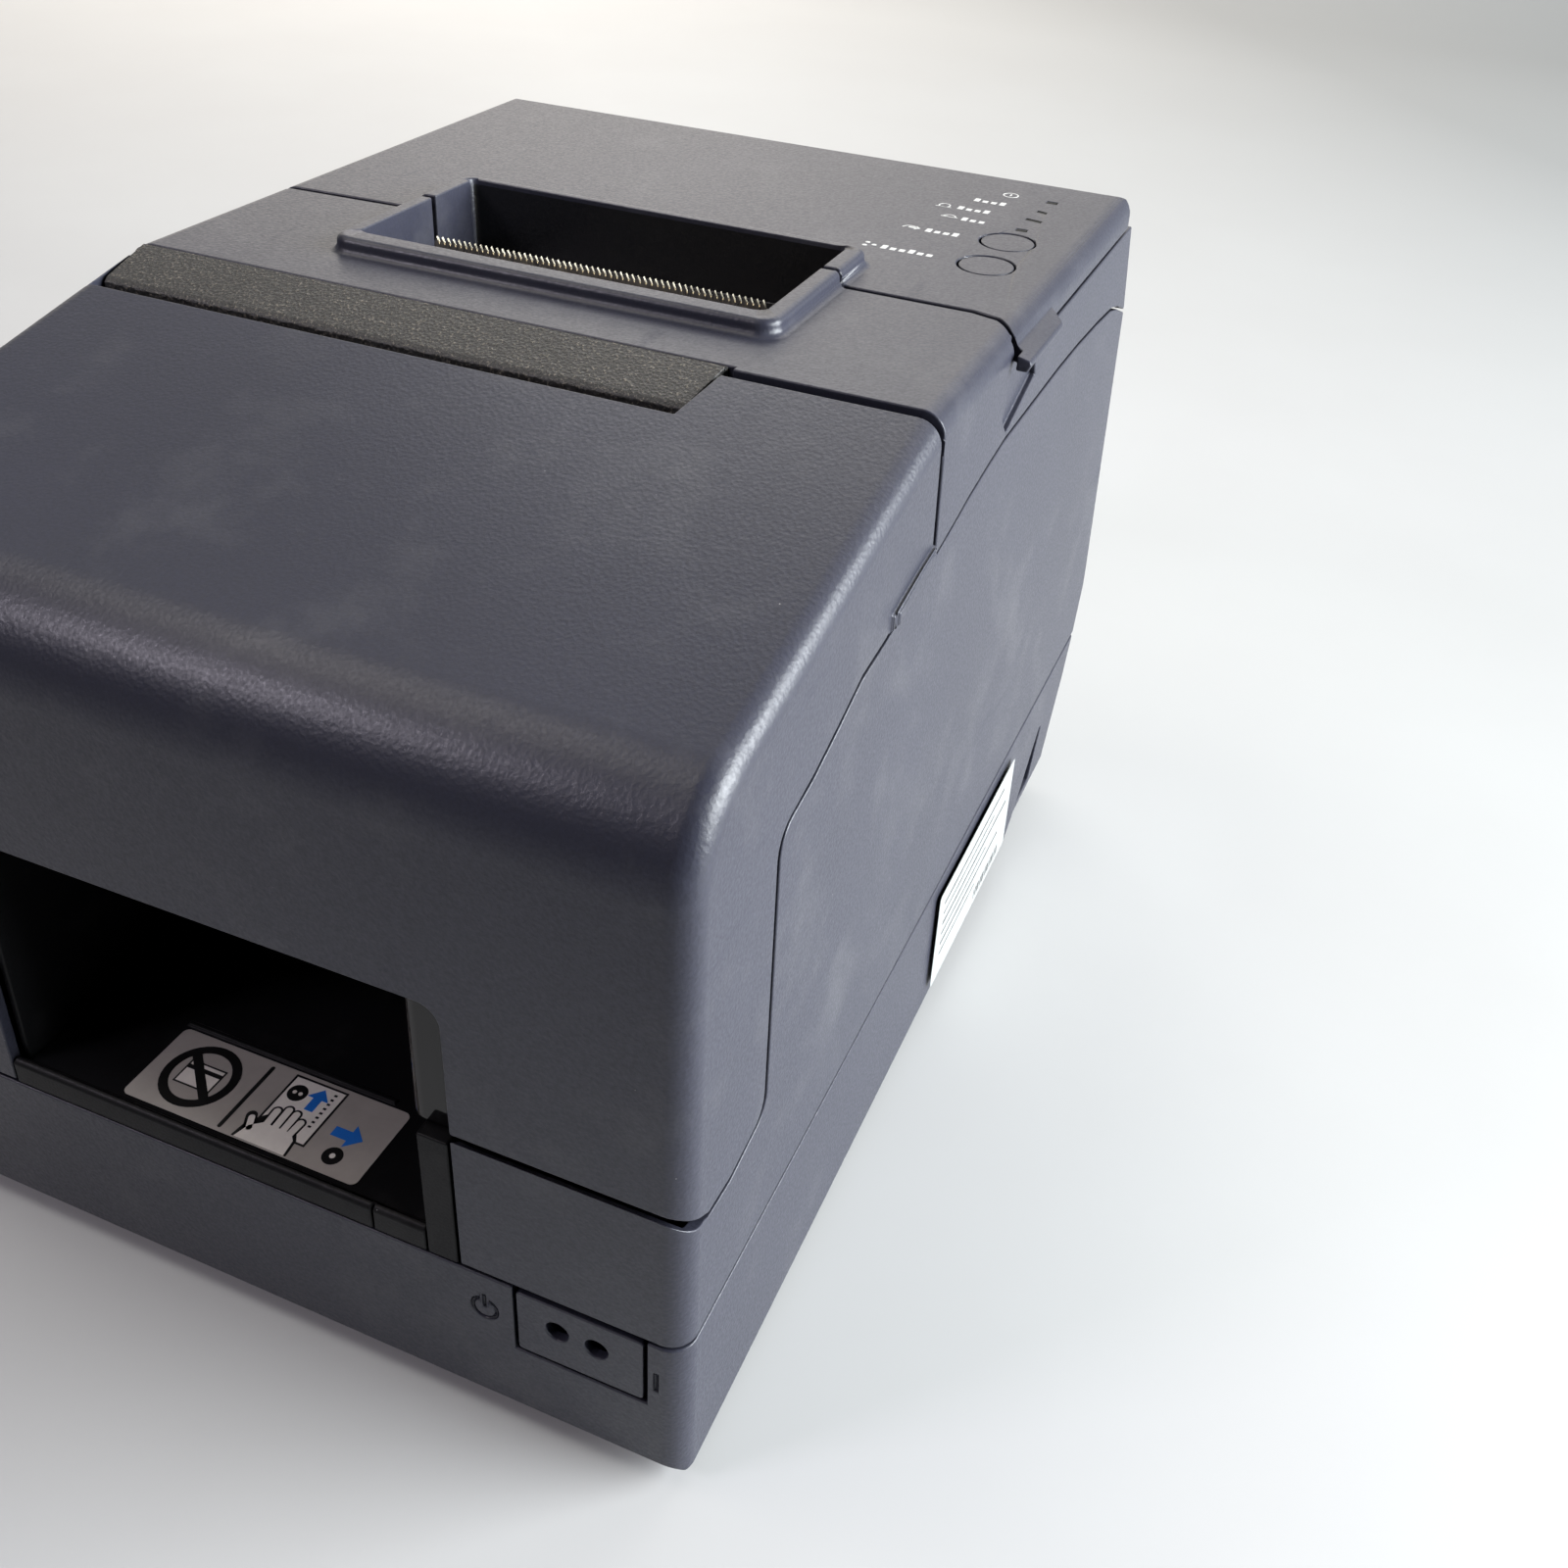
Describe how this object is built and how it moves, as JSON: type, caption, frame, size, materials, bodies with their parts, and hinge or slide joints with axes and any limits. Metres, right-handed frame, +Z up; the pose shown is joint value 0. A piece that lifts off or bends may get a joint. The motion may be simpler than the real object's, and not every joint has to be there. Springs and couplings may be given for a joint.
{
  "type": "receipt printer",
  "caption": "Desktop point-of-sale printer with a rear thermal receipt unit, a front slip printing unit, hinged roll and front covers and a raised receipt outlet.",
  "frame": {"origin": "on the floor under the feet, at the middle of the footprint", "axes": "+Z up, +Y to the rear, +X to the right seen from the front"},
  "size_m": [0.1914, 0.278, 0.1845],
  "materials": {
    "body_plastic": "fine spark-eroded texture",
    "black_plastic": "semi-matt",
    "gloss_black": "gloss",
    "rubber": "matt",
    "steel": "zinc plated sheet",
    "blade_steel": "ground",
    "aluminium": "extruded",
    "circuit_board": "solder mask",
    "gear_plastic": "acetal",
    "ceramic": "glazed ceramic",
    "ribbon_fabric": "inked nylon",
    "lens": "smoked",
    "cable": "film"
  },
  "bodies": {
    "chassis": {"base_casing": "body_plastic", "rubber_feet": "rubber", "right_side_casing": "body_plastic", "left_side_casing": "body_plastic", "rear_casing": "body_plastic", "upper_casing": "body_plastic", "slip_exit_guide": "black_plastic", "slip_tray": "black_plastic", "slip_frame": "black_plastic", "entry_guide": "gloss_black", "main_frame": "steel", "roll_bucket": "black_plastic", "main_board": "circuit_board", "interface_panel": "steel", "connector_sockets": "black_plastic", "thumb_screws": "steel", "casing_screws": "steel", "tear_bar": "blade_steel", "thermal_head": "ceramic", "heat_sink": "aluminium", "head_springs": "steel", "cutter_frame": "steel", "cutter_motor": "steel", "receipt_motor": "steel", "slip_motor": "steel", "carriage_motor": "steel", "carriage_shaft": "steel", "carriage_belt": "rubber", "slip_platen": "steel", "slip_guide": "steel", "ribbon_cassette": "black_plastic", "ink_ribbon": "ribbon_fabric", "roll_cover_pins": "steel", "front_cover_pins": "steel", "flat_cable": "cable", "power_switch": "black_plastic"},
    "roll_cover": {"roll_cover": "body_plastic", "cover_liner": "black_plastic", "status_lenses": "lens", "panel_board": "circuit_board", "fixed_blade": "blade_steel"},
    "platen": {"platen_roller": "rubber", "platen_gear": "gear_plastic"},
    "receipt_idler": {"receipt_idler": "gear_plastic"},
    "receipt_pinion": {"receipt_pinion": "gear_plastic"},
    "feed_button": {"feed_button": "body_plastic"},
    "release_button": {"release_button": "body_plastic"},
    "front_cover": {"front_cover": "body_plastic"},
    "switch_rocker": {"switch_rocker": "black_plastic"},
    "switch_cover": {"switch_cover": "body_plastic"},
    "cutter_blade": {"cutter_blade": "blade_steel"},
    "cutter_gear": {"cutter_gear": "gear_plastic"},
    "carriage": {"head_carriage": "black_plastic", "impact_head": "aluminium"},
    "motor_pulley": {"motor_pulley": "gear_plastic"},
    "idler_pulley": {"idler_pulley": "gear_plastic"},
    "slip_feed": {"slip_feed_rollers": "rubber"},
    "slip_pinch": {"slip_pinch_rollers": "rubber"},
    "slip_pinion": {"slip_pinion": "gear_plastic"},
    "ribbon_knob": {"ribbon_knob": "black_plastic"}
  },
  "joints": [
    {"name": "roll_cover_hinge", "type": "hinge", "parent": "chassis", "child": "roll_cover", "pos_m": [0, 0.11805, 0.17745], "axis": [-1, 0, 0], "range_deg": [0, 95]},
    {"name": "platen_spin", "type": "hinge", "parent": "roll_cover", "child": "platen", "pos_m": [0, 0.033, 0.152], "axis": [1, 0, 0], "continuous": true},
    {"name": "idler_spin", "type": "hinge", "parent": "chassis", "child": "receipt_idler", "pos_m": [0.0484, 0.033, 0.13185], "axis": [1, 0, 0], "continuous": true},
    {"name": "pinion_spin", "type": "hinge", "parent": "chassis", "child": "receipt_pinion", "pos_m": [0.0484, 0.033, 0.1147], "axis": [1, 0, 0], "continuous": true},
    {"name": "feed_button_press", "type": "slide", "parent": "roll_cover", "child": "feed_button", "axis": [0, 0, -1], "range_m": [0, 0.0008], "stiffness_N_per_m": 400, "springref_m": -0.0005},
    {"name": "release_button_press", "type": "slide", "parent": "roll_cover", "child": "release_button", "axis": [0, 0, -1], "range_m": [0, 0.0008], "stiffness_N_per_m": 400, "springref_m": -0.0005},
    {"name": "front_cover_hinge", "type": "hinge", "parent": "chassis", "child": "front_cover", "pos_m": [0, -0.131, 0.081], "axis": [1, 0, 0], "range_deg": [0, 60]},
    {"name": "power_rocker", "type": "hinge", "parent": "chassis", "child": "switch_rocker", "pos_m": [0.0715, -0.1295, 0.033], "axis": [0, 0, 1], "range_deg": [0, 16]},
    {"name": "switch_cover_pull", "type": "slide", "parent": "chassis", "child": "switch_cover", "axis": [0, -1, 0], "range_m": [0, 0.015]},
    {"name": "blade_slide", "type": "slide", "parent": "chassis", "child": "cutter_blade", "axis": [0, 1, 0], "range_m": [0, 0.008]},
    {"name": "cutter_gear_spin", "type": "hinge", "parent": "chassis", "child": "cutter_gear", "pos_m": [-0.03, -0.01, 0.16], "axis": [0, 0, 1], "range_deg": [0, 120]},
    {"name": "carriage_slide", "type": "slide", "parent": "chassis", "child": "carriage", "axis": [1, 0, 0], "range_m": [-0.045, 0.045]},
    {"name": "motor_pulley_spin", "type": "hinge", "parent": "chassis", "child": "motor_pulley", "pos_m": [-0.074, -0.096, 0.112], "axis": [0, 0, 1], "range_deg": [-460, 460]},
    {"name": "idler_pulley_spin", "type": "hinge", "parent": "chassis", "child": "idler_pulley", "pos_m": [0.074, -0.096, 0.112], "axis": [0, 0, 1], "range_deg": [-460, 460]},
    {"name": "slip_feed_spin", "type": "hinge", "parent": "chassis", "child": "slip_feed", "pos_m": [0, -0.084, 0.041], "axis": [1, 0, 0], "continuous": true},
    {"name": "slip_pinch_spin", "type": "hinge", "parent": "chassis", "child": "slip_pinch", "pos_m": [0, -0.084, 0.0536], "axis": [1, 0, 0], "continuous": true},
    {"name": "slip_pinion_spin", "type": "hinge", "parent": "chassis", "child": "slip_pinion", "pos_m": [0.0625, -0.084, 0.02585], "axis": [1, 0, 0], "continuous": true},
    {"name": "ribbon_knob_spin", "type": "hinge", "parent": "chassis", "child": "ribbon_knob", "pos_m": [-0.05, -0.111, 0.148], "axis": [0, 0, 1], "continuous": true}
  ],
  "couplings": [
    {"joint": "idler_spin", "follows": "platen_spin", "ratio": -0.66667},
    {"joint": "pinion_spin", "follows": "platen_spin", "ratio": 1.6},
    {"joint": "cutter_gear_spin", "follows": "blade_slide", "rad_per_m": 250},
    {"joint": "motor_pulley_spin", "follows": "carriage_slide", "rad_per_m": -175},
    {"joint": "idler_pulley_spin", "follows": "carriage_slide", "rad_per_m": -175},
    {"joint": "slip_pinch_spin", "follows": "slip_feed_spin", "ratio": -1},
    {"joint": "slip_pinion_spin", "follows": "slip_feed_spin", "ratio": -2}
  ]
}
